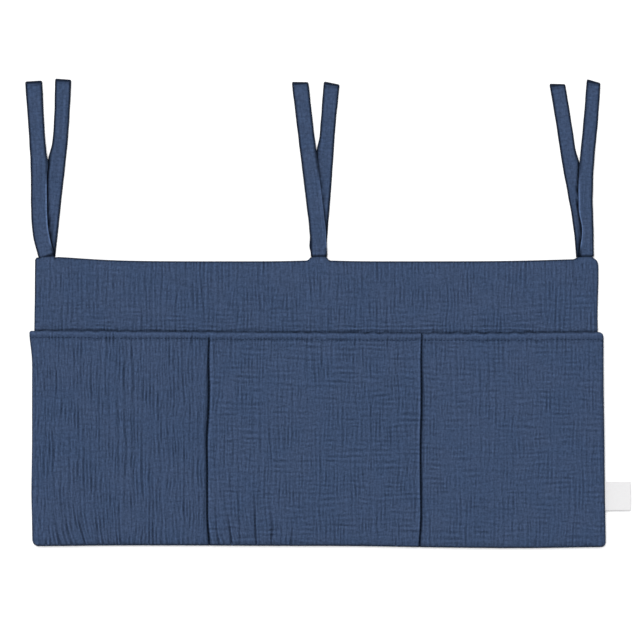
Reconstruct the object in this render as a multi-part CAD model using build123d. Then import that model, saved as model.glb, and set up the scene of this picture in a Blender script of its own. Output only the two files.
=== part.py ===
from build123d import *
import math
import os

# A padded hanging organiser lying on its back: three pockets in a row, three pairs of ties along the
# top edge and a folded label in the right edge. Millimetres. X is to the right, Y is towards the
# ties, Z is up through the thickness. The origin is the centre of the panel's back face.

# ---- panel ----
POCKET_ZONE_WIDTH = 602.0
BAND_WIDTH = 590.0
PANEL_HEIGHT = 298.0
BAND_CORNER = 4.0
ZONE_CORNER = 7.0
CLOTH = 1.0
PANEL_WADDING = 2.6
WADDING_INSET = 5.0
STITCH_INSET = 2.0
STITCH_WIDTH = 1.0

# ---- pocket layer ----
POCKET_DEPTH = 224.0
LEFT_DIVIDER_X = -115.0
RIGHT_DIVIDER_X = 108.0
DIVIDER_WIDTH = 2.6
DIVIDER_HEIGHT = 2.0
LEFT_DIVIDER_STOPS_BELOW_RIM = 7.0
CLEARANCE = 0.3
POCKET_RISE = 9.2
POCKET_CLOTH = 0.8
POCKET_WADDING = 2.0
POCKET_LINING = 0.8
RIM_STITCH_DROP = 7.0
THREAD = 0.7
THREAD_PROUD = 0.4

# ---- ties ----
TIE_WIDTH = 16.0
TIE_THICKNESS = 1.6
TIE_GAP = 0.4
TIE_HINGE_Y = 154.0
TACK_WIDTH = 18.0
TACK_HEIGHT = 3.4
ARC_SHARE = 0.45

# Where each pair of ties leaves the top edge, along X.
TIE_ROOT_X = {"left": -283.5, "middle": 1.0, "right": 280.0}

# Each tie's centreline from its root, chosen by hand: across, along.
TIE_ROUTES = {
    "tie_left_front": [(0, 0), (-5.5, 28), (-7.4, 59), (-8.8, 101), (-11.2, 143), (-14, 183)],
    "tie_left_back": [(0, 0), (3.6, 28), (6.6, 59), (11.3, 101), (14.6, 143), (16.6, 184)],
    "tie_middle_front": [(0, 0), (-1.4, 28), (-4.6, 59), (-9.6, 101), (-14.8, 143), (-19.2, 182)],
    "tie_middle_back": [(0, 0), (1.3, 28), (4.1, 59), (7.2, 101), (9.6, 143), (13.2, 180)],
    "tie_right_front": [(1.4, 0), (0.8, 28), (0.5, 59), (1.8, 101), (6.2, 143), (9.4, 182)],
    "tie_right_back": [(-1, 0), (-3.2, 28), (-9.2, 59), (-16.4, 101), (-23, 143), (-28.2, 179)],
}

# ---- label ----
LABEL_WIDTH = 25.6
LABEL_HEIGHT = 30.0
LABEL_THICKNESS = 1.2
LABEL_CENTRE_Y = -97.0
LABEL_HINGE_Z = 3.0
LABEL_STANDOFF = 1.4

# ---- worked out ----
PANEL_THICKNESS = 2 * CLOTH + PANEL_WADDING
TOP_EDGE = PANEL_HEIGHT / 2
BOTTOM_EDGE = -PANEL_HEIGHT / 2
RIM = BOTTOM_EDGE + POCKET_DEPTH
POCKET_BASE = PANEL_THICKNESS + CLEARANCE
SIDE_EDGE = POCKET_ZONE_WIDTH / 2
DIVIDER_HALF = DIVIDER_WIDTH / 2 + CLEARANCE
TACK_BASE = TIE_THICKNESS / 2
POCKET_SPANS = {
    "left": (-SIDE_EDGE, LEFT_DIVIDER_X - DIVIDER_HALF),
    "middle": (LEFT_DIVIDER_X + DIVIDER_HALF, RIGHT_DIVIDER_X - DIVIDER_HALF),
    "right": (RIGHT_DIVIDER_X + DIVIDER_HALF, SIDE_EDGE),
}


def save(shape, node):
    """One closed sub-part, written under its own name."""
    export_step(shape, f"parts/{node}.step")


def block(x0, x1, y0, y1, z0, z1):
    """A box between two corners."""
    low = (Align.MIN, Align.MIN, Align.MIN)
    return Pos(x0, y0, z0) * Box(x1 - x0, y1 - y0, z1 - z0, align=low)


def panel_outline(inset):
    """The panel's plan shape: the narrower band above, the wider pocket zone below."""
    zone_height = POCKET_DEPTH - 2 * inset
    zone = RectangleRounded(POCKET_ZONE_WIDTH - 2 * inset, zone_height, ZONE_CORNER - inset / 2)
    band = RectangleRounded(BAND_WIDTH - 2 * inset, PANEL_HEIGHT - 2 * inset, BAND_CORNER - inset / 2)
    return Pos(0, (RIM + BOTTOM_EDGE) / 2) * zone + band


def panel_layer(z0, z1, inset=0.0):
    """One flat layer of the panel."""
    return Pos(0, 0, z0) * extrude(panel_outline(inset), z1 - z0)


def perimeter_stitching():
    """The closed line of thread between the two cloths, just inside the turned edge."""
    top = CLOTH + PANEL_WADDING
    outside = panel_layer(CLOTH, top, STITCH_INSET)
    return outside - panel_layer(CLOTH, top, STITCH_INSET + STITCH_WIDTH)


def pillow(span, inset, past_rim):
    """A pocket's padded front as one solid from the panel up, drawn in by inset on every side.

    Its side, bottom and top edges are rolled over, and it ends past_rim beyond the rim.
    """
    x0, x1 = span[0] + inset, span[1] - inset
    y0, y1 = BOTTOM_EDGE + inset, RIM + past_rim
    rise = POCKET_RISE - inset
    body = block(x0, x1, y0, y1, POCKET_BASE, POCKET_BASE + rise)
    corner = ZONE_CORNER - inset / 2
    bottom_corners = body.edges().filter_by(Axis.Z).group_by(Axis.Y)[0]
    body = fillet(bottom_corners, corner)
    rolled = [e for e in body.faces().sort_by(Axis.Z)[-1].edges() if e.center().Y < y1 - 0.01]
    return fillet(rolled, min(corner, rise) - 0.6)


def pocket_cloth(span):
    """The outer cloth, turned over the rim and down to the lining."""
    inside = POCKET_CLOTH + POCKET_WADDING
    cloth = pillow(span, 0.0, 0.0) - pillow(span, POCKET_CLOTH, -POCKET_CLOTH)
    return cloth - pillow(span, inside, CLOTH)


def pocket_wadding(span):
    """The padding between the outer cloth and the lining."""
    padding = pillow(span, POCKET_CLOTH, -POCKET_CLOTH)
    return padding - pillow(span, POCKET_CLOTH + POCKET_WADDING, CLOTH)


def pocket_lining(span):
    """The pocket's inner cloth."""
    outside = POCKET_CLOTH + POCKET_WADDING
    return pillow(span, outside, 0.0) - pillow(span, outside + POCKET_LINING, CLOTH)


def rim_stitching(span):
    """The line of thread on the outer cloth below the rim, from one rolled side to the other."""
    reach = ZONE_CORNER + THREAD
    y1 = RIM - RIM_STITCH_DROP
    z0 = POCKET_BASE + POCKET_RISE
    return block(span[0] + reach, span[1] - reach, y1 - THREAD, y1, z0, z0 + THREAD_PROUD)


def divider_seam(x, top):
    """The stitched-down line between two pockets."""
    half = DIVIDER_WIDTH / 2
    z1 = PANEL_THICKNESS + DIVIDER_HEIGHT
    return block(x - half, x + half, BOTTOM_EDGE + THREAD, top, PANEL_THICKNESS, z1)


def tie_root(x):
    """The sewn-in ends of one pair of ties, tacked to the top edge."""
    half = TACK_WIDTH / 2
    z1 = TACK_BASE + TIE_THICKNESS + TIE_GAP
    return block(x - half, x + half, TOP_EDGE, TOP_EDGE + TACK_HEIGHT, TACK_BASE, z1)


def corner_radii(points):
    """The largest arc that each corner's two runs allow."""
    radii = []
    for a, b, c in zip(points, points[1:], points[2:]):
        run, next_run = Vector(b) - Vector(a), Vector(c) - Vector(b)
        half_turn = math.radians(run.get_angle(next_run)) / 2
        radii.append(ARC_SHARE * min(run.length, next_run.length) / math.tan(half_turn))
    return radii


def tie(node):
    """A flat strip along its route, closed at its free end. The back tie lies on the floor."""
    side = node.split("_")[1]
    middle_z = TIE_THICKNESS / 2
    if node.endswith("front"):
        middle_z += TIE_THICKNESS + TIE_GAP
    root_x = TIE_ROOT_X[side]
    points = [(root_x + across, TIE_HINGE_Y + along, middle_z) for across, along in TIE_ROUTES[node]]
    radii = corner_radii(points)
    path = FilletPolyline(*points, radius=radii)
    section = Plane(path @ 0, x_dir=(0, 0, 1), z_dir=path % 0) * Rectangle(TIE_THICKNESS, TIE_WIDTH)
    strip = sweep(section, path)
    expected = TIE_WIDTH * TIE_THICKNESS * path.length
    print(node, "length", round(path.length, 1), "radii", [round(r) for r in radii])
    print(node, "volume over section times length", round(strip.volume / expected, 4))
    return strip


def label():
    """The folded label, standing a little clear of the side seam so that it can fold over."""
    x0 = SIDE_EDGE + LABEL_STANDOFF
    half_height, half_thickness = LABEL_HEIGHT / 2, LABEL_THICKNESS / 2
    return block(
        x0,
        x0 + LABEL_WIDTH,
        LABEL_CENTRE_Y - half_height,
        LABEL_CENTRE_Y + half_height,
        LABEL_HINGE_Z - half_thickness,
        LABEL_HINGE_Z + half_thickness,
    )


os.makedirs("parts", exist_ok=True)

save(panel_layer(0.0, CLOTH), "back_cloth")
save(panel_layer(CLOTH, CLOTH + PANEL_WADDING, WADDING_INSET), "panel_wadding")
save(panel_layer(CLOTH + PANEL_WADDING, PANEL_THICKNESS), "front_cloth")
save(perimeter_stitching(), "perimeter_stitching")

for side, pocket_span in POCKET_SPANS.items():
    save(pocket_cloth(pocket_span), f"{side}_pocket_cloth")
    save(pocket_wadding(pocket_span), f"{side}_pocket_wadding")
    save(pocket_lining(pocket_span), f"{side}_pocket_lining")
    save(rim_stitching(pocket_span), f"{side}_rim_stitching")

save(divider_seam(LEFT_DIVIDER_X, RIM - LEFT_DIVIDER_STOPS_BELOW_RIM), "left_divider_seam")
save(divider_seam(RIGHT_DIVIDER_X, RIM), "right_divider_seam")

for side, root_x in TIE_ROOT_X.items():
    save(tie_root(root_x), f"{side}_tie_root")
for tie_node in TIE_ROUTES:
    save(tie(tie_node), tie_node)

save(label(), "label")
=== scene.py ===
"""Hanging pocket organizer in crinkled navy gauze: a padded panel, three pockets, six ties and a label."""
import math

import bmesh
import bpy
import numpy as np
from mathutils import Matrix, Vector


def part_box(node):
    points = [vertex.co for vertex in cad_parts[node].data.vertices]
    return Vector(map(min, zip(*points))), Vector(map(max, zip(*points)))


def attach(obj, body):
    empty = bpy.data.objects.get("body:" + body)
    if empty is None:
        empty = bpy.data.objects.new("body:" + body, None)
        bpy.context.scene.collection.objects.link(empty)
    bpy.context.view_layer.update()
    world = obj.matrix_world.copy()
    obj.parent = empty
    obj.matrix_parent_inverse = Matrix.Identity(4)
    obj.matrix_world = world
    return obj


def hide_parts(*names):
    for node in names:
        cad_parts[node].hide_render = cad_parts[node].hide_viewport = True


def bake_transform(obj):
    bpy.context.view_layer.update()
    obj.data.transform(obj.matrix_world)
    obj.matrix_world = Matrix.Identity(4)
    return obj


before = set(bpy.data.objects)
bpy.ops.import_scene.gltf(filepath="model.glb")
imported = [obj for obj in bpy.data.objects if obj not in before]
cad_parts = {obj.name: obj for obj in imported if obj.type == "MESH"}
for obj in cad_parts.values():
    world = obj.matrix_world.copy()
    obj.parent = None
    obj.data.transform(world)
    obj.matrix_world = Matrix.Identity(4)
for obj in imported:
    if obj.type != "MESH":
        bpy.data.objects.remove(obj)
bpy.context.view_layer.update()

MM = 0.001


def box(node):
    """Lowest and highest corner of a CAD node, in millimetres."""
    low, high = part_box(node)
    return np.array(low) / MM, np.array(high) / MM


SIDES = ("left", "middle", "right")
panel_low, panel_high = box("back_cloth")
cover_high = box("front_cloth")[1]
pocket = {side: box(f"{side}_pocket_cloth") for side in SIDES}
seam = {side: box(f"{side}_divider_seam") for side in ("left", "right")}
root = {side: box(f"{side}_tie_root") for side in SIDES}
ROOT_X = {side: float((root[side][0][0] + root[side][1][0]) / 2) for side in SIDES}
RIM = float(pocket["middle"][1][1])
BOTTOM = float(panel_low[1])
TOP = float(cover_high[1])
FRONT = float(cover_high[2])
SEAM_Z = FRONT / 2
# Half the width of the pockets' zone, and of the band above it.
ZONE = float(panel_high[0])
BAND = ZONE - 6.0


# ---------------------------------------------------------------- materials

# The Mix node's sockets for two colours and for their mixture.
COLOUR_A, COLOUR_B, COLOUR_OUT = 6, 7, 2
BLUISH = {"Sheen Tint": (0.30, 0.50, 1.0, 1), "Specular Tint": (0.35, 0.55, 1.0, 1)}


def new_material(name):
    """A material, its node tree and its shader."""
    material = bpy.data.materials.new(name)
    material.use_nodes = True
    return material, material.node_tree, material.node_tree.nodes["Principled BSDF"]


def feed(tree, made, inputs):
    """Sets each input of a node to a value, or links it to the socket given for it."""
    for key, value in inputs.items():
        if hasattr(value, "links"):
            tree.links.new(value, made.inputs[key])
        else:
            made.inputs[key].default_value = value


def node(tree, kind, inputs, **settings):
    made = tree.nodes.new(kind)
    for key, value in settings.items():
        setattr(made, key, value)
    feed(tree, made, inputs)
    return made


def mixed(tree, kind, amount, a, b):
    inputs = {"Factor": amount, COLOUR_A: a, COLOUR_B: b}
    return node(tree, "ShaderNodeMix", inputs, data_type="RGBA", blend_type=kind).outputs[COLOUR_OUT]


def ranged(tree, value, low, high, to_low, to_high):
    inputs = {"Value": value, "From Min": low, "From Max": high, "To Min": to_low, "To Max": to_high}
    return node(tree, "ShaderNodeMapRange", inputs).outputs["Result"]


def maths(tree, operation, a, b):
    return node(tree, "ShaderNodeMath", {0: a, 1: b}, operation=operation).outputs[0]


def noise(tree, place, scale, detail):
    inputs = {"Vector": place, "Scale": scale, "Detail": detail}
    return node(tree, "ShaderNodeTexNoise", inputs).outputs["Fac"]


def bands(tree, direction, inputs):
    """A texture of parallel bands, across the direction."""
    made = node(tree, "ShaderNodeTexWave", inputs, wave_type="BANDS", bands_direction=direction)
    return made.outputs["Fac"]


def own_place(tree):
    """Where a point is in its object's own frame, in metres."""
    return node(tree, "ShaderNodeTexCoord", {}).outputs["Object"]


def times(colour, factors):
    return tuple(c * f for c, f in zip(colour, factors))


def gauze(name, colour):
    """Double gauze: painted shade in creases and along edges and painted highlights on crests, cloudy dye,
    slubs, a plain weave and a soft sheen.
    """
    material, tree, shader = new_material(name)
    place = own_place(tree)
    relief = node(tree, "ShaderNodeAttribute", {}, attribute_name="relief").outputs["Fac"]
    painted_light = node(tree, "ShaderNodeAttribute", {}, attribute_name="painted_light").outputs["Fac"]
    dye = ranged(tree, noise(tree, place, 34.0, 3.0), 0.38, 0.62, 0, 1)
    warm, cool = times(colour, (1.04, 1.02, 1.01)), times(colour, (0.96, 0.98, 0.99))
    base = mixed(tree, "MIX", dye, (*warm, 1), (*cool, 1))
    slubs = []
    for stretch in ((1.0, 0.30, 1.0), (0.45, 1.0, 1.0)):
        turned = node(tree, "ShaderNodeMapping", {"Vector": place, "Scale": stretch}).outputs["Vector"]
        slubs.append(noise(tree, turned, 760.0, 2.0))
    slub = maths(tree, "ADD", *slubs)
    fuzz = 0.24
    speckle = ranged(tree, slub, 0.7, 1.3, 1 - fuzz, 1 + fuzz)
    # One more of the painted light doubles how light the cloth is.
    shade = maths(tree, "MULTIPLY", maths(tree, "POWER", 2.0, painted_light), speckle)
    grey = node(tree, "ShaderNodeCombineColor", {"Red": shade, "Green": shade, "Blue": shade})
    weave = {"Vector": place, "Scale": 300.0, "Distortion": 1.2, "Detail": 1.0}
    threads = maths(tree, "ADD", *(bands(tree, direction, weave) for direction in ("X", "Y")))
    bump = node(tree, "ShaderNodeBump", {"Height": threads, "Strength": 0.35, "Distance": 0.00012})
    bump = node(tree, "ShaderNodeBump",
                {"Height": slub, "Strength": 0.5, "Distance": 0.00022, "Normal": bump.outputs["Normal"]})
    feed(tree, shader, {
        "Base Color": mixed(tree, "MULTIPLY", 1.0, base, grey.outputs["Color"]),
        "Roughness": ranged(tree, relief, -1.5, 1.5, 1.0, 0.86),
        "Sheen Weight": 0.03, "Sheen Roughness": 0.5, "Specular IOR Level": 0.06, **BLUISH,
        "Normal": bump.outputs["Normal"]})
    return material


def thread_material(name, colour):
    """Twisted sewing thread, glossier on the crests of its twist, with a painted highlight on the crests and
    painted shade in the grooves.
    """
    material, tree, shader = new_material(name)
    twist = bands(tree, "DIAGONAL", {"Vector": own_place(tree), "Scale": 700})
    # Painted shade: the twist's grooves get a darker copy of the colour.
    dark = times(colour, (0.7, 0.7, 0.7))
    bump = node(tree, "ShaderNodeBump", {"Height": twist, "Distance": 0.0001})
    feed(tree, shader, {
        "Base Color": mixed(tree, "MIX", twist, (*dark, 1), (*colour, 1)),
        "Roughness": ranged(tree, twist, 0, 1, 0.75, 0.55),
        "Sheen Weight": 0.02, "Specular IOR Level": 0.10, **BLUISH,
        "Normal": bump.outputs["Normal"]})
    return material


def satin_material(name):
    """The label's ribbon: fine cross ribs, faint darker specks and a satin gloss."""
    material, tree, shader = new_material(name)
    place = own_place(tree)
    ribs = bands(tree, "Y", {"Vector": place, "Scale": 420, "Distortion": 0.6})
    speck = node(tree, "ShaderNodeTexNoise", {"Vector": place, "Scale": 300}).outputs["Fac"]
    base = mixed(tree, "MIX", ribs, (0.585, 0.580, 0.582, 1), (0.640, 0.636, 0.638, 1))
    base = mixed(tree, "MIX", ranged(tree, speck, 0.3, 0.7, 0, 0.25), base, (0.56, 0.55, 0.55, 1))
    bump = node(tree, "ShaderNodeBump", {"Height": ribs, "Distance": 0.00008})
    feed(tree, shader, {
        "Base Color": base, "Roughness": ranged(tree, ribs, 0, 1, 0.62, 0.45),
        "Sheen Weight": 0.1, "Normal": bump.outputs["Normal"]})
    return material


# ---------------------------------------------------------------- camera, light and floor

def make_camera():
    """Straight over the panel with a long lens, as the photograph was taken."""
    data = bpy.data.cameras.new("camera")
    data.lens, data.sensor_width = 200, 36
    data.clip_start, data.clip_end = 0.05, 50
    view_width, off_middle, over_foot = 0.670, 0.0026, 0.2366
    camera = bpy.data.objects.new("camera", data)
    middle = (panel_low + panel_high) / 2 * MM
    height = view_width * data.lens / data.sensor_width
    camera.location = (middle[0] + off_middle, BOTTOM * MM + over_foot, FRONT * MM + height)
    bpy.context.scene.collection.objects.link(camera)
    bpy.context.scene.camera = camera


def make_studio():
    """An even pale sky, one soft light that is as wide as 45 degrees of it, and a pale floor."""
    scene = bpy.context.scene
    scene.view_settings.view_transform = "Standard"
    world = bpy.data.worlds.new("studio")
    world.use_nodes = True
    sky = world.node_tree.nodes["Background"]
    feed(world.node_tree, sky, {"Color": (0.98, 0.985, 1.0, 1), "Strength": 0.60})
    scene.world = world
    data = bpy.data.lights.new("key", "SUN")
    data.angle, data.energy = math.radians(45), 2.75
    key = bpy.data.objects.new("key", data)
    key.location = (-0.18, 0.28, 1.0)
    key.rotation_euler = (-key.location).to_track_quat("-Z", "Y").to_euler()
    scene.collection.objects.link(key)
    data = bpy.data.meshes.new("floor")
    half, low = 9.0, -0.0004
    corners = [(-half, -half, low), (half, -half, low), (half, half, low), (-half, half, low)]
    data.from_pydata(corners, [], [(0, 1, 2, 3)])
    floor = bpy.data.objects.new("floor", data)
    scene.collection.objects.link(floor)
    material, tree, shader = new_material("floor")
    feed(tree, shader, {"Base Color": (0.93, 0.93, 0.93, 1), "Roughness": 0.9})
    data.materials.append(material)


# ---------------------------------------------------------------- the gauze's crinkle

# The way that ridges run, and the spread that makes them run every way.
UPRIGHT, LEVEL, EVERY_WAY = 0.0, math.pi / 2, 3.0
# The crinkle's layers of ridges: a number for the seed, the share of the height, the pitch and the spread.
UPRIGHT_LAYERS = ((2, 0.86, 4.3, 0.08), (3, 0.34, 7.5, 0.06), (4, 0.66, 3.0, 0.10))
LEVEL_LAYERS = ((5, 0.74, 5.6, 0.17), (6, 0.26, 8.5, 0.12), (9, 0.52, 4.1, 0.20))


def waves(x, y, seed, pitch, way=UPRIGHT, spread=0.1, count=70):
    """A seeded field of about unit size, whose ridges run one way, pitch millimetres apart."""
    rng = np.random.default_rng(seed)
    size = 2 * np.pi / (pitch * rng.uniform(0.7, 1.3, count))
    angle = way + rng.normal(0, spread, count) * rng.uniform(0.1, 1.5, count)
    phase = rng.uniform(0, 2 * np.pi, count)
    total = np.zeros(np.broadcast(x, y).shape)
    for k, a, p in zip(size, angle, phase):
        total += np.cos(k * (x * math.cos(a) + y * math.sin(a)) + p)
    return total * math.sqrt(2 / count)


def blotches(x, y, seed, pitch, sharp=1.3):
    """Patches, from 0 to 1."""
    return 0.5 + 0.5 * np.tanh(sharp * waves(x, y, seed, pitch, spread=EVERY_WAY, count=28))


def crinkle(x, y, seed, upright=1.0, across=0.6):
    """The crinkle's height, about -2 to 1.7: upright ridges and cross ridges that come and go in patches."""
    sway = 0.35 * waves(x, y, seed + 1, 60, spread=EVERY_WAY, count=20)
    tall = sum(share * waves(x + sway, y, seed + k, pitch, UPRIGHT, spread)
               for k, share, pitch, spread in UPRIGHT_LAYERS)
    wide = sum(share * waves(x, y + sway, seed + k, pitch, LEVEL, spread)
               for k, share, pitch, spread in LEVEL_LAYERS)
    tall = tall * (0.55 + 0.60 * blotches(x, y, seed + 7, 40))
    wide = wide * (0.55 + 0.55 * blotches(x, y, seed + 8, 30))
    grain = 0.26 * waves(x, y, seed + 10, 2.7, UPRIGHT, EVERY_WAY, 90)
    total = upright * tall * (1 + 0.22 * wide) + across * wide + grain
    return total - 0.12 * (total * total - 1)


# ---------------------------------------------------------------- soft steps and curves

def smooth(t):
    t = np.clip(t, 0, 1)
    return t * t * (3 - 2 * t)


def rolled(distance, radius):
    """0 at an edge to 1 at radius from it, as a quarter round."""
    t = np.clip(distance / radius, 0, 1)
    return np.sqrt(np.maximum(1 - (1 - t) ** 2, 0))


def bell(distance, width):
    return np.exp(-(distance / width) ** 2)


def ledge(distance, end, width):
    """1 as far as end, then falling off softly."""
    return bell(np.maximum(distance - end, 0), width)


def profile(distance, *bumps):
    """A sum of bells, each with a height, a place and a width."""
    return sum(height * bell(distance - place, width) for height, place, width in bumps)


def between(values, at):
    """A smooth curve through evenly spaced values, or rows of them, at places counted in steps."""
    last = len(values) - 1
    i = np.minimum(at.astype(int), last - 1)
    f = (at - i).reshape(at.shape + (1,) * (values.ndim - 1))
    a, b, c, d = values[np.maximum(i - 1, 0)], values[i], values[i + 1], values[np.minimum(i + 2, last)]
    square, cube = 2 * a - 5 * b + 4 * c - d, 3 * b - a - 3 * c + d
    return 0.5 * (2 * b + (c - a) * f + square * f ** 2 + cube * f ** 3)


def wander(t, knots):
    """A smooth curve through evenly spaced knots, for t from 0 to 1."""
    return between(np.asarray(knots, float), np.clip(t, 0, 1) * (len(knots) - 1))


def resample(values, rows, columns):
    """Values on a coarse grid spread smoothly over rows by columns."""
    for count in (rows, columns):
        values = between(values, np.linspace(0, len(values) - 1, count)).transpose(1, 0, 2)
    return values


def run_along(path):
    """How far along a line of points each of them is."""
    return np.concatenate([[0], np.cumsum(np.linalg.norm(np.diff(path, axis=0), axis=1))])


def on_path(at, run, path):
    return np.stack([np.interp(at, run, path[:, k]) for k in range(3)], -1)


def unit(vectors):
    return vectors / np.linalg.norm(vectors, axis=1, keepdims=True)


# ---------------------------------------------------------------- mesh making

def grid_faces(rows, columns, wrap=False, start=0):
    up = np.arange(rows - 1)
    across = np.arange(columns if wrap else columns - 1)
    r, c = np.meshgrid(up, across, indexing="ij")
    n = (c + 1) % columns
    corners = [r * columns + c, r * columns + n, (r + 1) * columns + n, (r + 1) * columns + c]
    return np.stack(corners, -1).reshape(-1, 4) + start


def grid_border(rows, columns):
    """The border of a grid's points, once round."""
    index = np.arange(rows * columns).reshape(rows, columns)
    return [*index[0, :], *index[1:, -1], *index[-1, -2::-1], *index[-2:0:-1, 0]]


def mesh_piece(name, points, faces, material, relief=None, more_faces=(), painted_shading=0.0):
    """A smooth mesh object from millimetre points, an array of quads and a list of any other polygons.
    relief is the crinkle's height, and the last argument is painted shading: painted shade below 0 and a
    painted highlight above 0."""
    data = bpy.data.meshes.new(name)
    points = np.asarray(points, float).reshape(-1, 3)
    data.from_pydata((points * MM).tolist(), [], faces.tolist() + [list(face) for face in more_faces])
    data.polygons.foreach_set("use_smooth", np.ones(len(data.polygons), bool))
    if relief is not None:
        relief = np.ravel(relief)
        # Painted light: shade painted into the crinkle's valleys and light onto its crests, plus the painted
        # shading.
        painted_light = 0.20 * np.clip(relief, -2.6, 2.2) + 1.3 * np.ravel(painted_shading)
        for key, value in (("relief", relief), ("painted_light", painted_light)):
            data.attributes.new(key, "FLOAT", "POINT").data.foreach_set("value", value.astype(np.float32))
    data.materials.append(material)
    data.update()
    ob = bpy.data.objects.new(name, data)
    bpy.context.scene.collection.objects.link(ob)
    return ob


def outward(ob):
    """Turns the faces of a closed mesh outward."""
    made = bmesh.new()
    made.from_mesh(ob.data)
    bmesh.ops.recalc_face_normals(made, faces=made.faces)
    made.to_mesh(ob.data)
    made.free()
    ob.data.update()
    return ob


def two_sided(name, top, under, material, relief=None, painted_shading=0.0):
    """A closed mesh between two grids of points that lie one over the other."""
    rows, columns = top.shape[:2]
    count = rows * columns
    border = grid_border(rows, columns)
    sides = [[a, b, b + count, a + count] for a, b in zip(border, border[1:] + border[:1])]
    faces = grid_faces(rows, columns)
    faces = np.concatenate([faces, faces[:, ::-1] + count])
    if relief is not None:
        painted_shading = np.tile(np.broadcast_to(painted_shading, relief.shape), (2, 1))
        relief = np.tile(relief, (2, 1))
    return outward(mesh_piece(name, np.concatenate([top, under]), faces, material, relief, sides, painted_shading))


def normals(points):
    """Unit normals of a grid of points, rows by columns."""
    along_rows = np.gradient(points, axis=0)
    across_rows = np.gradient(points, axis=1)
    made = np.cross(across_rows, along_rows)
    return made / np.maximum(np.linalg.norm(made, axis=-1, keepdims=True), 1e-9)


def lines(low, high, step, low_dense=True, high_dense=True, dense=(0.25, 0.7, 1.4, 2.3, 3.4)):
    """Grid lines from low to high, closer together at a rolled edge."""
    start = [low + d for d in dense] if low_dense else []
    end = [high - d for d in reversed(dense)] if high_dense else []
    a, b = (start[-1] if start else low), (end[0] if end else high)
    middle = list(np.linspace(a, b, max(2, int(round((b - a) / step)) + 1)))
    return np.array(([low] if start else []) + start[:-1] + middle + end[1:] + ([high] if end else []))


# ---------------------------------------------------------------- outlines

# How far each soft edge strays from the CAD's straight one, in millimetres, outward or to the right,
# at even steps down its height or along its width.
STRAY_LEFT = (1.0, -1.8, -2.0, -2.0, -2.0, -1.7, -1.3, -1.9, -2.3)
STRAY_RIGHT = (-1.4, -1.3, -0.5, 0.0, 0.9)
STRAY_FOOT = (0.35, -0.45, -0.45, -0.05, 0.25, 1.65, 2.35, 1.15)
STRAY_RIM = (1.2, 0.1, -0.9, -1.6, -0.4)
STRAY_BAND_LEFT = (0.9, 1.1, 1.2, 1.5, 1.7)
STRAY_BAND_RIGHT = (-0.8, -0.7, -1.2, -1.6, -1.4)
STRAY_DIVIDER = {"left": (1.9, 0.9, 1.5, 0.9, -0.6, -0.3, -0.3, -0.1, 1.9),
                 "right": (1.2, 0.6, 0.9, 0.8, 0.0, -0.1, 0.2, 0.3, -1.4)}
# The radii of the pockets' corners on the left and on the right.
RIM_CORNERS = (2.6, 4.6)
FOOT_CORNERS = (6.6, 4.8)
# How high each pair of ties draws up the top edge, and how far along it that reaches.
LIFT = {"left": (4.6, 50), "middle": (0.9, 24), "right": (2.2, 52)}
ROOT_LIFT = 3.9
# How far the panel's edges lie inside the pockets' at the sides and the foot.
INSIDE_SIDE, INSIDE_FOOT = 0.3, 0.4


def down(y):
    return (RIM - y) / (RIM - BOTTOM)


def along(x):
    return (x + ZONE) / (2 * ZONE)


def zone_left(y):
    return -ZONE - wander(down(y), STRAY_LEFT)


def zone_right(y):
    return ZONE + wander(down(y), STRAY_RIGHT)


def to_side(x, y):
    """How far in a point of the pockets' zone is from the nearer side edge."""
    return np.minimum(x - zone_left(y), zone_right(y) - x)


def round_drop(t):
    """How far a quarter round has fallen, for t from 0 to 1."""
    return 1 - np.sqrt(np.maximum(1 - np.clip(t, 0, 1) ** 2, 0))


def corner_drop(x, y, radii):
    """How far a rounded corner falls away from its square, for a point of an edge at the height y."""
    radius, edge, share = np.where(x < 0, *radii), 0.2, 0.94
    return radius * share * round_drop(1 - (to_side(x, np.full_like(x, y)) - edge) / radius)


def rim_line(x):
    """The height of the pockets' rim, rounded off at the outer corners."""
    ripple = 0.22 * waves(x, 0 * x, 71, 17, UPRIGHT, 0, 20)
    return RIM + wander(along(x), STRAY_RIM) + ripple - corner_drop(x, RIM, RIM_CORNERS)


def foot_line(x):
    """The height of the bottom edge, with its rounded corners."""
    return BOTTOM - wander(along(x), STRAY_FOOT) + corner_drop(x, BOTTOM, FOOT_CORNERS)


def top_line(x):
    """The height of the top edge: drawn up at the ties' roots, a little slack between them."""
    lift = np.zeros_like(x)
    for side in SIDES:
        low, high = root[side]
        away = np.maximum(np.abs(x - ROOT_X[side]) - (high[0] - low[0]) / 2 + 0.8, 0)
        height, reach = LIFT[side]
        drawn = height * np.exp(-(away / reach) ** 1.5) + (ROOT_LIFT - height) * smooth(1 - away / 3.4)
        lift = np.maximum(lift, drawn)
    middle, half, wide, deep, above = -1.2, BAND + 0.2, 4.0, 6.0, 0.1
    return TOP + above + lift - deep * round_drop(1 - (half - np.abs(x - middle)) / wide)


def panel_edge(y, sign, stray, zone_edge):
    """A side edge of the panel: the band's above the rim, just inside the pocket's below it."""
    band = sign * (BAND + wander((TOP - y) / (TOP - RIM), stray))
    low = smooth((RIM - 3.0 - y) / 3.5)
    return band * (1 - low) + (zone_edge - sign * INSIDE_SIDE) * low


def panel_left(y):
    return panel_edge(y, -1, STRAY_BAND_LEFT, zone_left(y))


def panel_right(y):
    return panel_edge(y, 1, STRAY_BAND_RIGHT, zone_right(y))


# ---------------------------------------------------------------- cloth simulation

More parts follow.
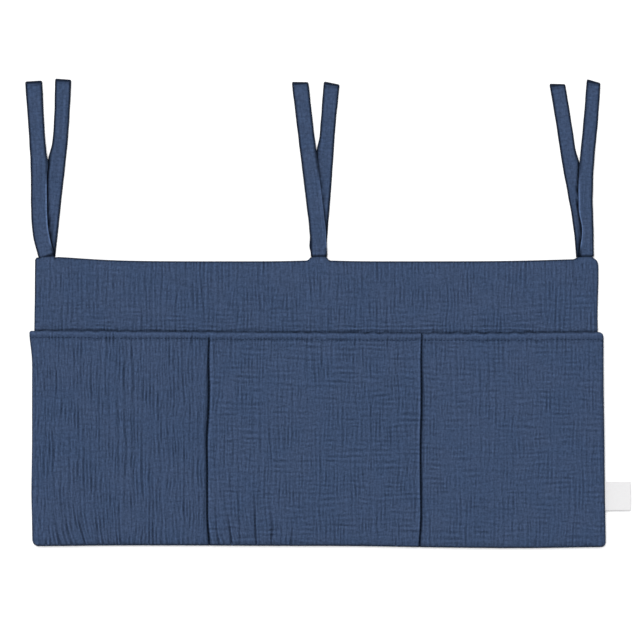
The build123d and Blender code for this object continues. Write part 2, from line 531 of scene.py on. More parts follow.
def swell(name, points, sewn, coarse, pressure, limit):
    """How far each point of a grid of cloth moves as its wadding swells it between its sewn edges.
    The cloth simulation runs on a coarser grid, and no point moves farther than the limit."""
    rows, columns = points.shape[:2]
    r = np.unique(np.round(np.linspace(0, rows - 1, coarse[0])).astype(int))
    c = np.unique(np.round(np.linspace(0, columns - 1, coarse[1])).astype(int))
    start, held = points[np.ix_(r, c)], sewn[np.ix_(r, c)]
    ob = mesh_piece(name, start, grid_faces(len(r), len(c)), bpy.data.materials[0])
    ob.vertex_groups.new(name="sewn").add(np.flatnonzero(held).tolist(), 1.0, "REPLACE")
    modifier = ob.modifiers.new("cloth", "CLOTH")
    settings = modifier.settings
    settings.quality, settings.mass = 7, 0.25
    settings.tension_stiffness = settings.compression_stiffness = 14
    settings.shear_stiffness, settings.bending_stiffness = 6, 0.6
    settings.vertex_group_mass = "sewn"
    settings.use_pressure, settings.uniform_pressure_force = True, pressure
    settings.effector_weights.gravity = 0
    modifier.collision_settings.use_collision = False
    frames = 20
    modifier.point_cache.frame_start, modifier.point_cache.frame_end = 1, frames
    scene = bpy.context.scene
    for frame_number in range(1, frames + 1):
        scene.frame_set(frame_number)
    done = ob.evaluated_get(bpy.context.evaluated_depsgraph_get()).to_mesh()
    end = np.array([v.co for v in done.vertices]) / MM
    data = ob.data
    bpy.data.objects.remove(ob)
    bpy.data.meshes.remove(data)
    scene.frame_set(1)
    moved = end.reshape(start.shape) - start
    size = np.linalg.norm(moved, axis=-1, keepdims=True)
    moved = moved * limit * np.tanh(size / limit) / np.maximum(size, 1e-9) * ~held[..., None]
    return resample(moved, rows, columns)


# ---------------------------------------------------------------- panel

PANEL_ROUND = 3.6


def panel_grid(step_band, step_zone, step_x):
    """x and y of a grid over the panel's outline, with close rows where the rim lies on it."""
    under_rim, at_rim, over_rim, reach = RIM - 12, RIM - 3, RIM + 7, 26
    up = np.concatenate([lines(BOTTOM, under_rim, step_zone, high_dense=False)[:-1],
                         np.arange(under_rim, at_rim, 1.3), np.arange(at_rim, over_rim, 0.6),
                         lines(over_rim, TOP, step_band, low_dense=False)])
    share = lines(-BAND, BAND, step_x) / BAND / 2 + 0.5
    c, y = np.meshgrid(share, up)
    x = panel_left(y) * (1 - c) + panel_right(y) * c
    to_top = (top_line(x) - TOP) * smooth((y - (TOP - reach)) / reach)
    to_foot = (foot_line(x) + INSIDE_FOOT - BOTTOM) * smooth((BOTTOM + reach - y) / reach)
    return x, y + to_top + to_foot


def panel_edges(x, y):
    """How far in from the panel's nearest edge, and how full the panel is there, from 0 to 1."""
    side = np.minimum(x - panel_left(y), panel_right(y) - x)
    top, foot = top_line(x) - y, y - foot_line(x) - INSIDE_FOOT
    fullness = rolled(side, PANEL_ROUND) * rolled(top, PANEL_ROUND) * rolled(foot, PANEL_ROUND)
    return np.minimum(np.minimum(side, top), foot), fullness


def make_panel_front(material):
    """The front cover, tucked in under the pockets' rim and crinkled across just above it."""
    x, y = panel_grid(1.1, 7.0, 0.9)
    near, fullness = panel_edges(x, y)
    above = y - rim_line(x)
    points = np.stack([x, y, SEAM_Z + (FRONT - SEAM_Z) * fullness], -1)
    puff = swell("band_swell", points, (near < 1.2) | (above < 2), (90, 120), 4.0, 1.5)
    points += puff * smooth(above / 7)[..., None]
    points[..., 2] += fullness * (-1.3 * ledge(np.abs(above + 0.8), 1.2, 1.3) + 0.35 * bell(above - 4.5, 2.5))
    relief = crinkle(x, y, 11, upright=0.94, across=0.34 + 0.42 * bell(above - 8, 26))
    ruck = blotches(x, 0 * x, 37, 110, 2.0) * bell(above - 8, 10)
    relief += 0.85 * ruck * waves(x, y, 38, 4.9, LEVEL, 0.06)
    relief += 0.4 * bell(above - 4, 7) * waves(x, y * 0.2, 36, 4.6, UPRIGHT, 0.1)
    keep = smooth(near / 2.6) * (1 - 0.6 * smooth((-2 - above) / 8)) * (1 - 0.6 * bell(above, 2.0))
    points += normals(points) * (relief * 0.24 * keep)[..., None]
    # Painted shade: darker along the cover's edges, and a painted shadow of the pockets' rim in a band just
    # above it.
    rim_shade = (0.50 + 0.18 * waves(x, 0 * x, 39, 15, UPRIGHT, 0)) * ledge(above, 0.7, 0.8)
    painted_shading = -1.2 * ledge(near, 0.45, 0.75) - 0.05 * bell(near, 4) - rim_shade
    faces, border = grid_faces(*x.shape), grid_border(*x.shape)[::-1]
    front = mesh_piece("panel_front_cover", points, faces, material, relief, [border], painted_shading)
    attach(front, "panel")
    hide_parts("front_cloth", "panel_wadding", "perimeter_stitching")


def make_panel_back(material):
    """The back cover: nearly flat, as it lies on the floor."""
    x, y = panel_grid(1.9, 1.9, 1.9)
    near, fullness = panel_edges(x, y)
    relief = crinkle(x, y, 47, upright=1.0, across=0.5)
    z = SEAM_Z - SEAM_Z * fullness + (0.34 - 0.2 * relief) * smooth(near / 3)
    points = np.stack([x, y, np.maximum(z, 0)], -1)
    faces, border = grid_faces(*x.shape)[:, ::-1], grid_border(*x.shape)
    # Painted shade along the back cover's edges.
    back = mesh_piece("panel_back_cover", points, faces, material, relief, [border], -0.6 * bell(near, 1.3))
    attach(back, "panel")
    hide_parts("back_cloth")


# ---------------------------------------------------------------- pockets

HEM = RIM - float(box("middle_rim_stitching")[0][1]) - 0.5
EDGE_ROUND = 1.7
ROLL_ROWS, LINING_ROWS = 12, 69
# Each pleat: its place along the bottom seam as a share of the width, its lean, and its length, depth and
# width in millimetres.
PLEATS = {
    "left": [(0.17, -0.20, 44, 0.6, 1.4), (0.24, -0.24, 50, 0.6, 1.3), (0.31, -0.20, 40, 0.6, 1.4),
             (0.39, -0.12, 30, 0.5, 1.3)],
    "middle": [(0.052, -0.10, 42, 0.9, 1.0), (0.118, -0.18, 38, 2.1, 1.0), (0.150, -0.02, 66, 0.7, 1.0),
               (0.230, -0.05, 58, 2.0, 0.95), (0.300, -0.02, 47, 1.1, 0.95), (0.394, 0.06, 20, 1.2, 0.95)],
    "right": [(0.62, 0.05, 18, 0.5, 1.2)],
}
# How strong the upright and the cross ridges are.
RIDGES = {"left": (1.26, 0.34), "middle": (0.88, 0.80), "right": (0.68, 0.72)}
# Where the ridges lean over near the foot, over what width, and by how much.
LEAN = {"left": (-248.0, 34.0, 0.34), "middle": (-88.0, 34.0, 0.36), "right": (0.0, 1.0, 0.0)}
LEAN_HEIGHT = 52
# How far the dividers' grooves keep two pockets apart on each side, and how far the outline's edges sag.
GAP = 0.45
DROOP = 2.3
HALF_SEAM = 1.3
# The divider on each side of a pocket.
LEFT_DIVIDER = {"middle": "left", "right": "right"}
RIGHT_DIVIDER = {"left": "left", "middle": "right"}


def divider_line(side, y):
    low, high = seam[side]
    return (low[0] + high[0]) / 2 + wander(down(y), STRAY_DIVIDER[side])


def hem_over(side, x, y):
    """1 where the rim's hem runs on over the left divider's top, so that two pockets meet, else 0."""
    return 0 * x if side == "right" else smooth((y - (rim_line(x) - HEM - 0.5)) / 2.0)


def beside_divider(divider, y, sign):
    """The edge of a pocket to the right of a divider for a sign of 1, and to its left for -1."""
    line = divider_line(divider, y)
    return line + sign * GAP * (1 - hem_over(divider, line, y))


def pocket_left(side, y):
    return beside_divider(LEFT_DIVIDER[side], y, 1) if side in LEFT_DIVIDER else zone_left(y)


def pocket_right(side, y):
    return beside_divider(RIGHT_DIVIDER[side], y, -1) if side in RIGHT_DIVIDER else zone_right(y)


def seam_ends(side):
    """A pocket's nominal left and right seams."""
    ends = [-ZONE, *(float(seam[divider][0][0] + HALF_SEAM) for divider in ("left", "right")), ZONE]
    at = SIDES.index(side)
    return ends[at], ends[at + 1]


def pocket_height(side, x, y):
    """The outer face's height over the sewn edge, 0 at the seams. The middle pocket's sides are steepest."""
    rise = float(pocket[side][1][2] - pocket[side][0][2])
    outer_radius, inner_radius = 6.0, 1.5 if side == "middle" else 3.4
    joined = hem_over(side, x, y)
    body, puff = np.ones_like(x), np.ones_like(x)
    for distance, outer, at_left_divider in ((x - pocket_left(side, y), side == "left", side == "middle"),
                                             (pocket_right(side, y) - x, side == "right", side == "left")):
        fall = rolled(distance + 0.02, outer_radius if outer else inner_radius)
        if at_left_divider:
            fall = fall * (1 - joined) + joined
        body = body * fall
        puff = puff * smooth((distance + 6) / 60) ** 0.7
    foot = y - foot_line(x)
    body = body * rolled(foot + 0.02, outer_radius)
    puff = puff * smooth((foot + 6) / 70) ** 0.7
    flat = 0.42 + 0.58 * smooth((rim_line(x) - y) / 60)
    return body * rise * (0.50 + 0.34 * puff) * flat


def creases(side, x, y):
    """Height of the pleats above the bottom seam and of the little gathers along it, and their painted
    shading: painted shade in their folds and painted highlights beside them.
    """
    left, right = seam_ends(side)
    height, painted_shading = np.zeros_like(x), np.zeros_like(x)
    up = y - foot_line(x)
    for share, lean, length, depth, width in PLEATS[side]:
        away = x - (left + share * (right - left) + lean * up + 0.5 * np.sin(up / 9 + share * 40))
        fade = smooth(1.15 - up / length) ** 0.7 * smooth((up + 5) / 8)
        crests = (0.6, 1.9 * width, 1.5 * width), (0.35, -1.9 * width, 1.3 * width)
        height += depth * fade * profile(away, *crests, (-1, 0, width))
        pleat_shading = profile(away, (0.22, 1.5 * width, width), (-0.80, 0, 0.8 * width))
        painted_shading += min(depth, 1.5) * fade * pleat_shading
    gather = waves(x, y * 0, 90 + SIDES.index(side), 6.0, UPRIGHT, 0.0, 24)
    return height + 0.38 * gather * bell(up, 8.0), painted_shading + 0.10 * gather * bell(up, 7.0)


def outer_distance(side, x, y):
    """How far in a point is from the outline that all the layers share."""
    away = y - foot_line(x)
    if side == "left":
        return np.minimum(away, x - zone_left(y))
    return np.minimum(away, zone_right(y) - x) if side == "right" else away


def outline_shade(side, x, y):
    """How dark the rolled edge is along the outline: darkest at the foot."""
    shade = 1.45 * ledge(y - foot_line(x), 0.7, 0.8)
    if side == "left":
        shade = np.maximum(shade, 1.05 * ledge(x - zone_left(y), 0.45, 0.75))
    if side == "right":
        shade = np.maximum(shade, 1.3 * ledge(zone_right(y) - x, 0.6, 0.8))
    return shade


def seam_shading(side, x, y, edge, below):
    """Painted shading beside the dividers: painted shade in their valleys and at the left divider's top, and
    painted highlights on the middle pocket's shoulders.
    """
    over = hem_over(side, x, y)
    from_left_divider = x - divider_line("left", y)
    if side == "middle":
        painted_shading = profile(edge, (0.38, 1.5, 0.9), (-1.1, 0, 0.55)) * (1 - over)
        painted_shading = painted_shading + 0.22 * bell(from_left_divider - 2.4, 1.2) * over
    else:
        inner = (pocket_right(side, y) - x) if side == "left" else (x - pocket_left(side, y))
        painted_shading = -profile(inner, (0.28, 0, 2.4), (1.0, 0, 0.65)) * (1 - over)
    if side != "right":
        painted_shading = painted_shading - 1.0 * bell(from_left_divider + 0.3, 1.3) * bell(below - HEM - 0.6, 2.0)
    return painted_shading


def pocket_grid(side):
    """x and y of a grid over a pocket's outer face, its nominal height over the foot, and the foot's line."""
    left, right = seam_ends(side)
    share = lines(0, right - left, 0.82)
    if len(share) % 2 == 0:
        share = np.sort(np.append(share, share[len(share) // 2 - 1: len(share) // 2 + 1].mean()))
    tall, reach = RIM - BOTTOM, 40
    hem_foot = tall - 11
    up = np.concatenate([lines(0, hem_foot, 1.15, high_dense=False)[:-1],
                         np.linspace(hem_foot, tall - EDGE_ROUND, 16)])
    c, v = np.meshgrid(share / (right - left), up)
    nominal = BOTTOM + v
    x = pocket_left(side, nominal) * (1 - c) + pocket_right(side, nominal) * c
    foot, rim = foot_line(x), rim_line(x)
    y = nominal + (foot - BOTTOM) * smooth(1 - v / reach) + (rim - RIM) * smooth((v - (tall - reach)) / reach)
    return pocket_left(side, y) * (1 - c) + pocket_right(side, y) * c, y, v, foot


def rim_roll(top_row, z_seam):
    """The rows that turn over the rim, from the outer face's last row to where the lining begins."""
    thick = np.clip((top_row[:, 2] - z_seam) * 0.40, 0.08, EDGE_ROUND)
    roll = np.repeat(top_row[None], ROLL_ROWS, 0)
    for row, turn in zip(roll, np.linspace(0, math.pi, ROLL_ROWS + 1)[1:]):
        row[:, 1] += EDGE_ROUND * math.sin(turn)
        row[:, 2] -= thick * (1 - math.cos(turn))
    return roll


def pocket_relief(side, seed, x, y, foot, below):
    """The crinkle of a pocket's outer face: it leans over near the foot and gathers along the hem's seam."""
    upright, cross = RIDGES[side]
    place, wide, lean = LEAN[side]
    low = np.maximum(0, LEAN_HEIGHT - (y - foot))
    drawn = x - lean * low ** 2 / (2 * LEAN_HEIGHT) * bell(x - place, wide)
    relief = crinkle(drawn, y, seed, upright=upright, across=cross)
    relief = relief * (1 - 0.55 * smooth((HEM - 0.6 - below) / 2))
    return relief + 0.30 * bell(below - HEM, 4.5) * waves(x, y * 0.15, seed + 21, 4.2, UPRIGHT, 0.1)


def pocket_points(side):
    """Grid over a pocket: rows go up the outer face, round the rim and down the lining.
    Returns the points, their relief and painted shading, and the number of the outer face's rows."""
    x, y, v, foot = pocket_grid(side)
    rows, columns = x.shape
    seed = 200 + 40 * SIDES.index(side)
    z_seam = float(pocket[side][0][2]) + 0.15
    over_divider = hem_over(side, x, y) * bell(x - divider_line("left", y), 14)
    edge = np.minimum(x - pocket_left(side, y), pocket_right(side, y) - x)
    edge = np.maximum(edge, 6 * over_divider)
    below = rim_line(x) - y
    height = pocket_height(side, x, y)
    fold, fold_shading = creases(side, x, y)
    hem = profile(below, (0.5, HEM / 2 + 0.4, 2.1), (-0.85, HEM, 1.6))
    crest = -0.55 * smooth(1 - (below - EDGE_ROUND) / 1.2)
    fallen = z_seam - DROOP * (1 - rolled(outer_distance(side, x, y) + 0.02, 5.0))
    body = np.stack([x, y, fallen + height + smooth(edge / 4) * (hem + fold + crest)], -1)

    roll = rim_roll(body[-1], z_seam)
    step = np.round(np.linspace(rows - 1, 0, LINING_ROWS + 1)).astype(int)[1:]
    x_in, y_in = x[step], y[step]
    wadding = 3.4 * smooth(np.minimum(edge[step], y_in - foot[step]) / 8)
    inner = np.maximum(height[step] - wadding, 0) * 0.97 - 0.12
    to_roll = smooth((y_in - (RIM - 22)) / 18)
    inner = inner * (1 - to_roll) + (roll[-1][:, 2] - z_seam)[None, :] * to_roll
    points = np.concatenate([body, roll, np.stack([x_in, y_in, fallen[step] + inner], -1)])

    sewn = (edge < 0.6) | (v < 0.6)
    held = np.concatenate([sewn, np.repeat(sewn[-1:], ROLL_ROWS, 0), sewn[step]])
    puff = swell(f"{side}_swell", points, held, (70, 44), 1.2, 2.0)[:rows]
    body = points[:rows] + puff * (smooth(edge / 3) * smooth(below / 14))[..., None]

    relief = pocket_relief(side, seed, x, y, foot, below)
    keep = smooth(np.minimum(edge / 2.6, (y - foot + 0.5) / 8))
    points[:rows] = body + normals(body) * (relief * 0.25 * keep)[..., None]
    # Painted shading: shade in the pleats, along the outline, darker towards the foot, along the hem's seam
    # and in the dividers' valleys; painted highlights on the rim's crest and the middle pocket's shoulders.
    painted_shading = fold_shading - outline_shade(side, x, y) - 0.10 * bell(y - foot, 6) \
        + profile(below, (-0.17, HEM, 1.9), (0.26, 1.9, 1.1)) + seam_shading(side, x, y, edge, below)
    # Painted shade deepening as the rim rolls under to the lining.
    roll_shading = np.linspace(0.0, -0.9, ROLL_ROWS)[:, None] * np.ones(columns)
    painted_shading = np.concatenate([painted_shading, roll_shading, np.zeros_like(x_in)])
    roll_relief = np.repeat(relief[-1:] * 0.4, ROLL_ROWS, 0)
    relief = np.concatenate([relief, roll_relief, crinkle(x_in, y_in, seed + 30, 0.8, 0.3)])
    return points, relief, painted_shading, rows


def make_pocket(side, material, thread):
    """A pocket's two halves, which meet at its middle, and the stitches along their rim."""
    points, relief, painted_shading, outer_rows = pocket_points(side)
    middle = points.shape[1] // 2
    whole = normals(points)
    left, right = seam_ends(side)
    centre = points[:outer_rows, middle]
    stitched = int(np.argmin(np.abs(rim_line(centre[:, 0]) - centre[:, 1] - HEM)))
    margin = 3
    line, lift = points[stitched, margin:-margin], whole[stitched, margin:-margin]
    ends = {"a": (left, slice(0, middle + 1), slice(0, middle + 1 - margin)),
            "b": (right, slice(middle, None), slice(middle - margin, None))}
    for half, (start, part, part_of_line) in ends.items():
        p = points[:, part]
        faces = grid_faces(*p.shape[:2])
        ob = mesh_piece(f"{side}_pocket_{half}", p, faces, material, relief[:, part], (), painted_shading[:, part])
        ob.data.normals_split_custom_set_from_vertices(whole[:, part].reshape(-1, 3).tolist())
        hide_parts(f"{side}_pocket_cloth", f"{side}_pocket_wadding", f"{side}_pocket_lining")
        sewing = stitches(f"{side}_rim_stitches_{half}", line[part_of_line], lift[part_of_line], thread)
        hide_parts(f"{side}_rim_stitching")
        for piece in (ob, sewing):
            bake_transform(piece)


# ---------------------------------------------------------------- stitches and dividers

STITCH_LENGTH, STITCH_GAP = 2.9, 1.3
STITCH_RADIUS, STITCH_SUNK = 0.36, 0.10
# A stitch's rings: where each is along it, and how full it is.
STITCH_AT = np.array([0, 0.12, 0.35, 0.65, 0.88, 1.0])
STITCH_FULL = np.array([0.25, 0.8, 1.0, 1.0, 0.8, 0.25])


def stitches(name, path, up, material):
    """Thread dashes along a path of millimetre points, each a rounded bead lying on the cloth."""
    run = run_along(path)
    rings, around = len(STITCH_AT), 8
    angle = (np.arange(around) * 2 * math.pi / around)[None, :, None]
    points, faces, ends = [], [], []
    for i in range(int((run[-1] - 1) // (STITCH_LENGTH + STITCH_GAP))):
        at = 0.8 + i * (STITCH_LENGTH + STITCH_GAP) + STITCH_AT * STITCH_LENGTH
        spine, lift = on_path(at, run, path), unit(on_path(at, run, up))
        aside = np.cross(unit(np.gradient(spine, axis=0)), lift)
        spine = spine + lift * ((0.5 * STITCH_FULL - 0.35) * STITCH_RADIUS - STITCH_SUNK)[:, None]
        out = aside[:, None] * np.cos(angle) + lift[:, None] * np.sin(angle)
        points.append(spine[:, None] + out * (STITCH_RADIUS * STITCH_FULL)[:, None, None])
        start = i * rings * around
        last = start + (rings - 1) * around
        faces.append(grid_faces(rings, around, wrap=True, start=start))
        ends += [list(range(start + around - 1, start - 1, -1)), list(range(last, last + around))]
    return mesh_piece(name, np.concatenate(points), np.concatenate(faces), material, None, ends)


def make_divider(side, material, thread):
    """The strip where two pockets are sewn down to the panel, with its stitches."""
    low, high = seam[side]
    foot = float(foot_line(np.array(low[0])))
    x, y = np.meshgrid(np.linspace(-1.5, 1.5, 9), np.arange(foot + 1.0, high[1] - 0.8, 1.2))
    pull = 0.18 * np.cos(2 * math.pi * y / (STITCH_LENGTH + STITCH_GAP))
    z = low[2] + 0.45 + 0.10 * x ** 2 + pull * bell(x, 1.2)
    relief = -1.0 + 0.3 * waves(x, y, 77, 4.2, LEVEL, 0.2)
    centre = divider_line(side, y)
    top = np.stack([x + centre, y, z], -1)
    under = np.stack([x + centre, y, np.full_like(z, low[2] - 0.3)], -1)
    # Painted shade: the strip down in the groove is painted dark.
    strip = two_sided(f"{side}_divider_strip", top, under, material, relief, -2.2)
    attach(strip, "panel")
    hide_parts(f"{side}_divider_seam")
    path = top[:, x.shape[1] // 2]
    ob = stitches(f"{side}_divider_stitches", path, np.tile([0, 0, 1.0], (len(path), 1)), thread)
    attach(ob, "panel")
    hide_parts(f"{side}_divider_seam")


# ---------------------------------------------------------------- ties

# The points of each tie's spline: across from its root and up from its hinge.
TIE_ROUTES = {
    "tie_left_front": [(0, 0), (-3.4, 10), (-7.2, 28), (-8.4, 54), (-8.2, 94), (-11.4, 140), (-14, 184)],
    "tie_left_back": [(0.6, 0), (3.8, 28), (7.2, 62), (11.8, 101), (15.8, 143), (17, 186)],
    "tie_middle_front": [(0.6, 0), (0, 22), (-4.4, 58), (-9.6, 101), (-14.8, 143), (-19.3, 183)],
    "tie_middle_back": [(0.4, 0), (1.2, 22), (4.4, 58), (7.4, 101), (10.2, 143), (13.9, 182)],
    "tie_right_front": [(1.8, 0), (1.8, 26), (0.4, 56), (1.6, 98), (6.6, 142), (9.3, 184)],
    "tie_right_back": [(-1, 0), (-2.6, 24), (-7.6, 56), (-16, 99), (-22.2, 143), (-28.8, 181)],
}
# Each tie's width as a share of the usual, how much wider it ends, and how far its end slants down rightward.
TIE_CUT = {"tie_left_front": (1.055, 0.07, 0.0), "tie_left_back": (1.0, 0.06, 0.35),
           "tie_middle_front": (1.07, 0.02, 0.95), "tie_middle_back": (0.99, 0.06, 0.8),
           "tie_right_front": (0.95, -0.03, 1.4), "tie_right_back": (1.01, 0.01, 1.4)}
# How far above its hinge each pair comes together, how much wider the under one spreads below that, and how
# dark the painted shadow in the gap between them is, which also sets the front tie's painted highlight.
TIE_CROSSING = {"left": (112, 2.8, 3.0), "middle": (119, 2.6, 1.2), "right": (106, 2.2, 3.0)}
# Where the front tie's inner edge is curled under, by how much (below 0 is a bulge), and over what length.
TIE_CURL = {"left": (99, -1.7, 9), "middle": (0, 0, 1), "right": (27, 3.0, 15)}
# Which way a front tie's inner edge faces: to the right, or to the left.
INNER = {"left": 1, "middle": 1, "right": -1}
TIE_HINGE_Y = 154.0
TIE_WIDTH = 16.0
TIE_HALF_THICK = 1.02
TIE_AROUND = 44
# How far before its end a tie's last cross-sections lie.
TIE_END_ROWS = np.array([4.4, 3.8, 3.2, 2.6, 2.0, 1.3, 0.7, 0.25, 0])


def route_points(name):
    """Points along the tie's NURBS spline, read from a curve with no bevel, in millimetres."""
    side = name.split("_")[1]
    low, high = box(name)
    z = (low[2] + high[2]) / 2
    curve = bpy.data.curves.new(name + "_route", "CURVE")
    curve.dimensions = "3D"
    spline = curve.splines.new("NURBS")
    spline.points.add(len(TIE_ROUTES[name]) - 1)
    for point, (aside, ahead) in zip(spline.points, TIE_ROUTES[name]):
        point.co = ((ROOT_X[side] + aside) * MM, (TIE_HINGE_Y + ahead) * MM, z * MM, 1)
    spline.order_u = 3
    spline.use_endpoint_u = True
    spline.resolution_u = 24
    ob = bpy.data.objects.new(name + "_route", curve)
    bpy.context.scene.collection.objects.link(ob)
    bpy.context.view_layer.update()
    line = bpy.data.meshes.new_from_object(ob)
    made = np.array([v.co for v in line.vertices]) / MM
    bpy.data.objects.remove(ob)
    bpy.data.curves.remove(curve)
    bpy.data.meshes.remove(line)
    return made


def half_width(name, seed, at, end):
    """Half a tie's width at each place along it."""
    width, flare, _ = TIE_CUT[name]
    narrow = 1 - 0.15 * (1 - rolled(end + 0.03, 2.2))
    uneven = 1 + 0.006 * waves(at, at * 0, seed, 26, UPRIGHT, 0, 16)
    return TIE_WIDTH / 2 * narrow * (width + flare * smooth(1 - end / 45)) * uneven


def reshaped(name, at, across):
    """How far a front tie's inner edge is curled under, or a back one's outer part spreads."""
    side, layer = name.split("_")[1:]
    inner = INNER[side]
    if layer == "front":
        place, depth, reach = TIE_CURL[side]
        return inner * (depth * bell(at - place, reach))[:, None] * smooth(inner * across)
    crossing, spread, _ = TIE_CROSSING[side]
    below_crossing = spread * smooth((crossing + 9 - at) / 22) * smooth(at / 12)
    return inner * below_crossing[:, None] * smooth(-inner * across)


def gap_shade(name, points, at):
    """The painted shadow on an under tie beside the front one's inner edge, below where the two come
    together.
    """
    side = name.split("_")[1]
    crossing, _, shade = TIE_CROSSING[side]
    place, depth, reach = TIE_CURL[side]
    front = name.replace("back", "front")
    cover = route_points(front)
    gap = INNER[side] * (points[..., 0] - np.interp(points[..., 1], cover[:, 1], cover[:, 0])) \
        - TIE_WIDTH / 2 * TIE_CUT[front][0] + depth * bell(at - place, reach)
    soft = 0.75 * bell(at - 20, 22) * bell(gap - 0.5, 4.0)
    return (shade * bell(gap - 0.4, 1.05) + soft) * smooth((crossing - at) / 8)


def make_tie(name, seed, material):
    """A flat strip with soft edges, from its hinge at the panel's top to its folded end."""
    side, layer = name.split("_")[1:]
    inner = INNER[side]
    path = route_points(name)
    run = run_along(path)
    total = run[-1]
    at = np.concatenate([np.arange(0, total - 5, 1.2), total - TIE_END_ROWS])
    end = total - at
    spine = on_path(at, run, path)
    ahead = np.gradient(spine, axis=0)
    ahead[:, 2] = 0
    ahead = unit(ahead)
    aside = np.stack([ahead[:, 1], -ahead[:, 0], 0 * ahead[:, 0]], -1)
    angle = np.arange(TIE_AROUND) * 2 * math.pi / TIE_AROUND
    across = (np.sign(np.cos(angle)) * np.abs(np.cos(angle)) ** 0.62)[None, :]
    lift = (np.sign(np.sin(angle)) * np.abs(np.sin(angle)) ** 0.75)[None, :]

    # s runs across the strip and t through it; up and past are how far a point is from the hinge and the end.
    half = half_width(name, seed, at, end)[:, None]
    s = across * half - reshaped(name, at, across)
    taper = (0.30 + 0.70 * rolled(end + 0.1, 1.8)) * (0.80 + 0.20 * smooth(at / 12))
    hem = 1 - 0.40 * bell(end - 3.3, 0.55)
    t = lift * (TIE_HALF_THICK * taper * hem)[:, None] * (1 - 0.16 * (1 - np.abs(across ** 3)))
    up = at[:, None] + 0 * s
    past = end[:, None] + 0 * s
    relief = 0.50 * waves(s, up, seed + 3, 4.0, UPRIGHT, 0.06, 50) \
        + 0.34 * waves(s, up, seed + 4, 4.6, LEVEL, 0.22, 50) \
        + 0.22 * waves(s, up, seed + 5, 2.7, UPRIGHT, EVERY_WAY, 60)
    t = t + np.sign(lift) * 0.10 * relief * smooth((1 - np.abs(across)) / 0.2)
    wave = 0.22 * waves(up, s * 0.2, seed + 7, 60, UPRIGHT, 0.1, 20) * smooth(up / 25)
    slant = TIE_CUT[name][2] * smooth(1 - past / 5) * across
    points = spine[:, None] + aside[:, None] * s[..., None] - ahead[:, None] * slant[..., None]
    overlap = ledge(up, 70, 24) * smooth(up / 14)
    raised = 0.1
    if layer == "front":
        raised = 0.35 + 0.9 * overlap * smooth(inner * across) - 1.9 * smooth((up - 88) / 45)
    points[..., 2] = np.maximum(points[..., 2] + t + 0.5 * wave + raised, 0.0)

    # Painted shade along the tie's edges, at its end and its hem line, and where it leaves the tab.
    rim = ledge((1 - np.abs(across)) * half, 0.95, 0.95)
    painted_shading = -1.75 * np.maximum(rim, ledge(past, 1.6, 1.1)) - 0.40 * bell(past - 4.4, 0.9)
    painted_shading = painted_shading - 1.5 * ledge(up, 0.8, 0.9)
    if layer == "front":
        # Painted highlight on a front tie's inner edge where it lies over the under tie, whose dark edge is
        # taken off there; the under tie gets a painted shadow beside it.
        inset = (1 - np.maximum(inner * across, 0)) * half
        crest = 0.30 * TIE_CROSSING[side][2] * bell(inset - 0.9, 0.75)
        painted_shading = painted_shading + overlap * (1.75 * ledge(inset, 0.95, 0.95) + crest)
    else:
        painted_shading = painted_shading - gap_shade(name, points, up)
    last = (len(at) - 1) * TIE_AROUND
    caps = [list(range(TIE_AROUND - 1, -1, -1)), list(range(last, last + TIE_AROUND))]
    faces = grid_faces(len(at), TIE_AROUND, wrap=True)
    ob = outward(mesh_piece(name + "_strip", points, faces, material, relief, caps, np.maximum(painted_shading, -3.0)))
    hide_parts(name)
    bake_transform(ob)


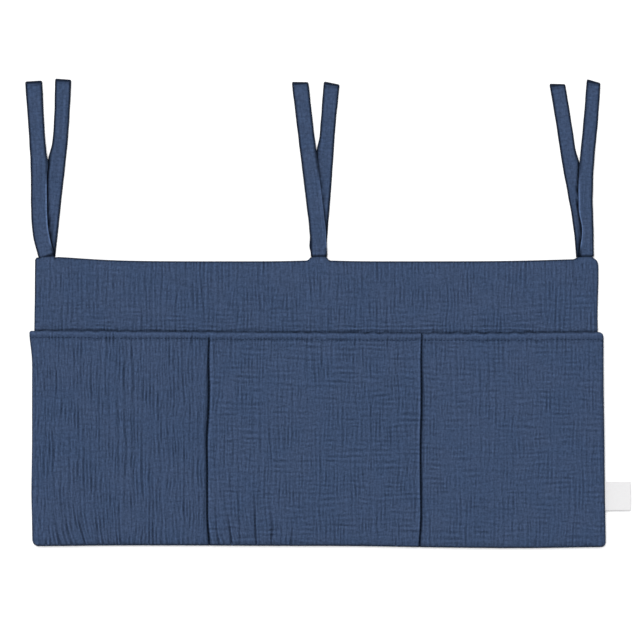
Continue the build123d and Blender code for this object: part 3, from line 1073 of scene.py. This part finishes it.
def make_root(side, seed, material):
    """The little tab where a pair of ties is caught in the top seam: a padded fold that closes up at its
    head, where shade is painted in the crease.
    """
    low, high = root[side]
    half = (high[0] - low[0]) / 2
    head, middle_z, half_thick = TIE_HINGE_Y + 0.3, 2.3, 1.9
    rows = lines(TOP - 2.5, head, 0.7, low_dense=False, dense=(0.2, 0.6, 1.2))
    share, y = np.meshgrid(np.linspace(-1, 1, 29), rows)
    edge = (1 - np.abs(share)) * half
    closed = rolled(edge, 2.2) * rolled(head - y + 0.02, 1.6)
    # Painted shade in the crease at the hinge and along the tab's edges.
    painted_shading = -0.8 * bell(y - TIE_HINGE_Y - 0.2, 1.0) - 0.8 * ledge(edge, 0.3, 0.8)
    x = share * (half - 0.6 + 0.2 + 2.4 * smooth((TOP + 1.8 - y) / 3.6))
    y = y + (-0.7 * share ** 2 + 0.4 * share) * smooth((y - TOP) / 4)
    relief = crinkle(x, y, seed, 0.7, 0.3)
    front = middle_z + closed * (half_thick + 0.35 * smooth((TOP + 2 - y) / 4) + 0.12 * relief)
    top = np.stack([x + ROOT_X[side], y, front], -1)
    under = np.stack([x + ROOT_X[side], y, middle_z - closed * half_thick], -1)
    ob = two_sided(f"{side}_tie_tab", top, under, material, relief, painted_shading)
    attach(ob, "panel")
    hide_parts(f"{side}_tie_root")


# ---------------------------------------------------------------- label

def make_label(material):
    """A satin ribbon folded in two, its ends caught in the side seam."""
    low, high = box("label")
    inner, fold = low[0] - 3.0, high[0]
    radius, thick = (high[2] - low[2]) / 2 - 0.15, 0.28
    z = (high[2] + low[2]) / 2
    straight = np.linspace(inner, fold - radius, 30)
    turn = np.linspace(-math.pi / 2, math.pi / 2, 9)[1:-1]
    below = np.stack([straight, 0 * straight + z - radius], -1)
    bend = np.stack([fold - radius + radius * np.cos(turn), z + radius * np.sin(turn)], -1)
    above = np.stack([straight[::-1], 0 * straight + z + radius], -1)
    line = np.concatenate([below, bend, above])
    y, x = np.meshgrid(np.linspace(low[1], high[1], 33), line[:, 0])
    share = (x - inner) / (fold - inner)
    wave = 0.25 * share * np.sin(0.16 * (y - low[1]) + 0.6) + 0.1 * share ** 2
    grid = np.stack([x, y, line[:, 1:] + wave], -1)
    out = normals(grid) * thick / 2
    ob = two_sided("label_ribbon", grid + out, grid - out, material)
    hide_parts("label")
    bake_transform(ob)


# ---------------------------------------------------------------- all of it

make_camera()
NAVY = (0.0336, 0.0532, 0.1015)
cloth = gauze("gauze", NAVY)
tie_cloth = gauze("tie_gauze", times(NAVY, (1.06, 1.05, 1.04)))
thread = thread_material("thread", (0.010, 0.019, 0.044))
for i, name in enumerate(TIE_ROUTES):
    make_tie(name, 400 + 20 * i, tie_cloth)
make_studio()
make_panel_front(cloth)
make_panel_back(cloth)
for side in SIDES:
    make_pocket(side, cloth, thread)
for side in ("left", "right"):
    make_divider(side, cloth, thread)
for i, side in enumerate(SIDES):
    make_root(side, 600 + 20 * i, tie_cloth)
make_label(satin_material("label"))
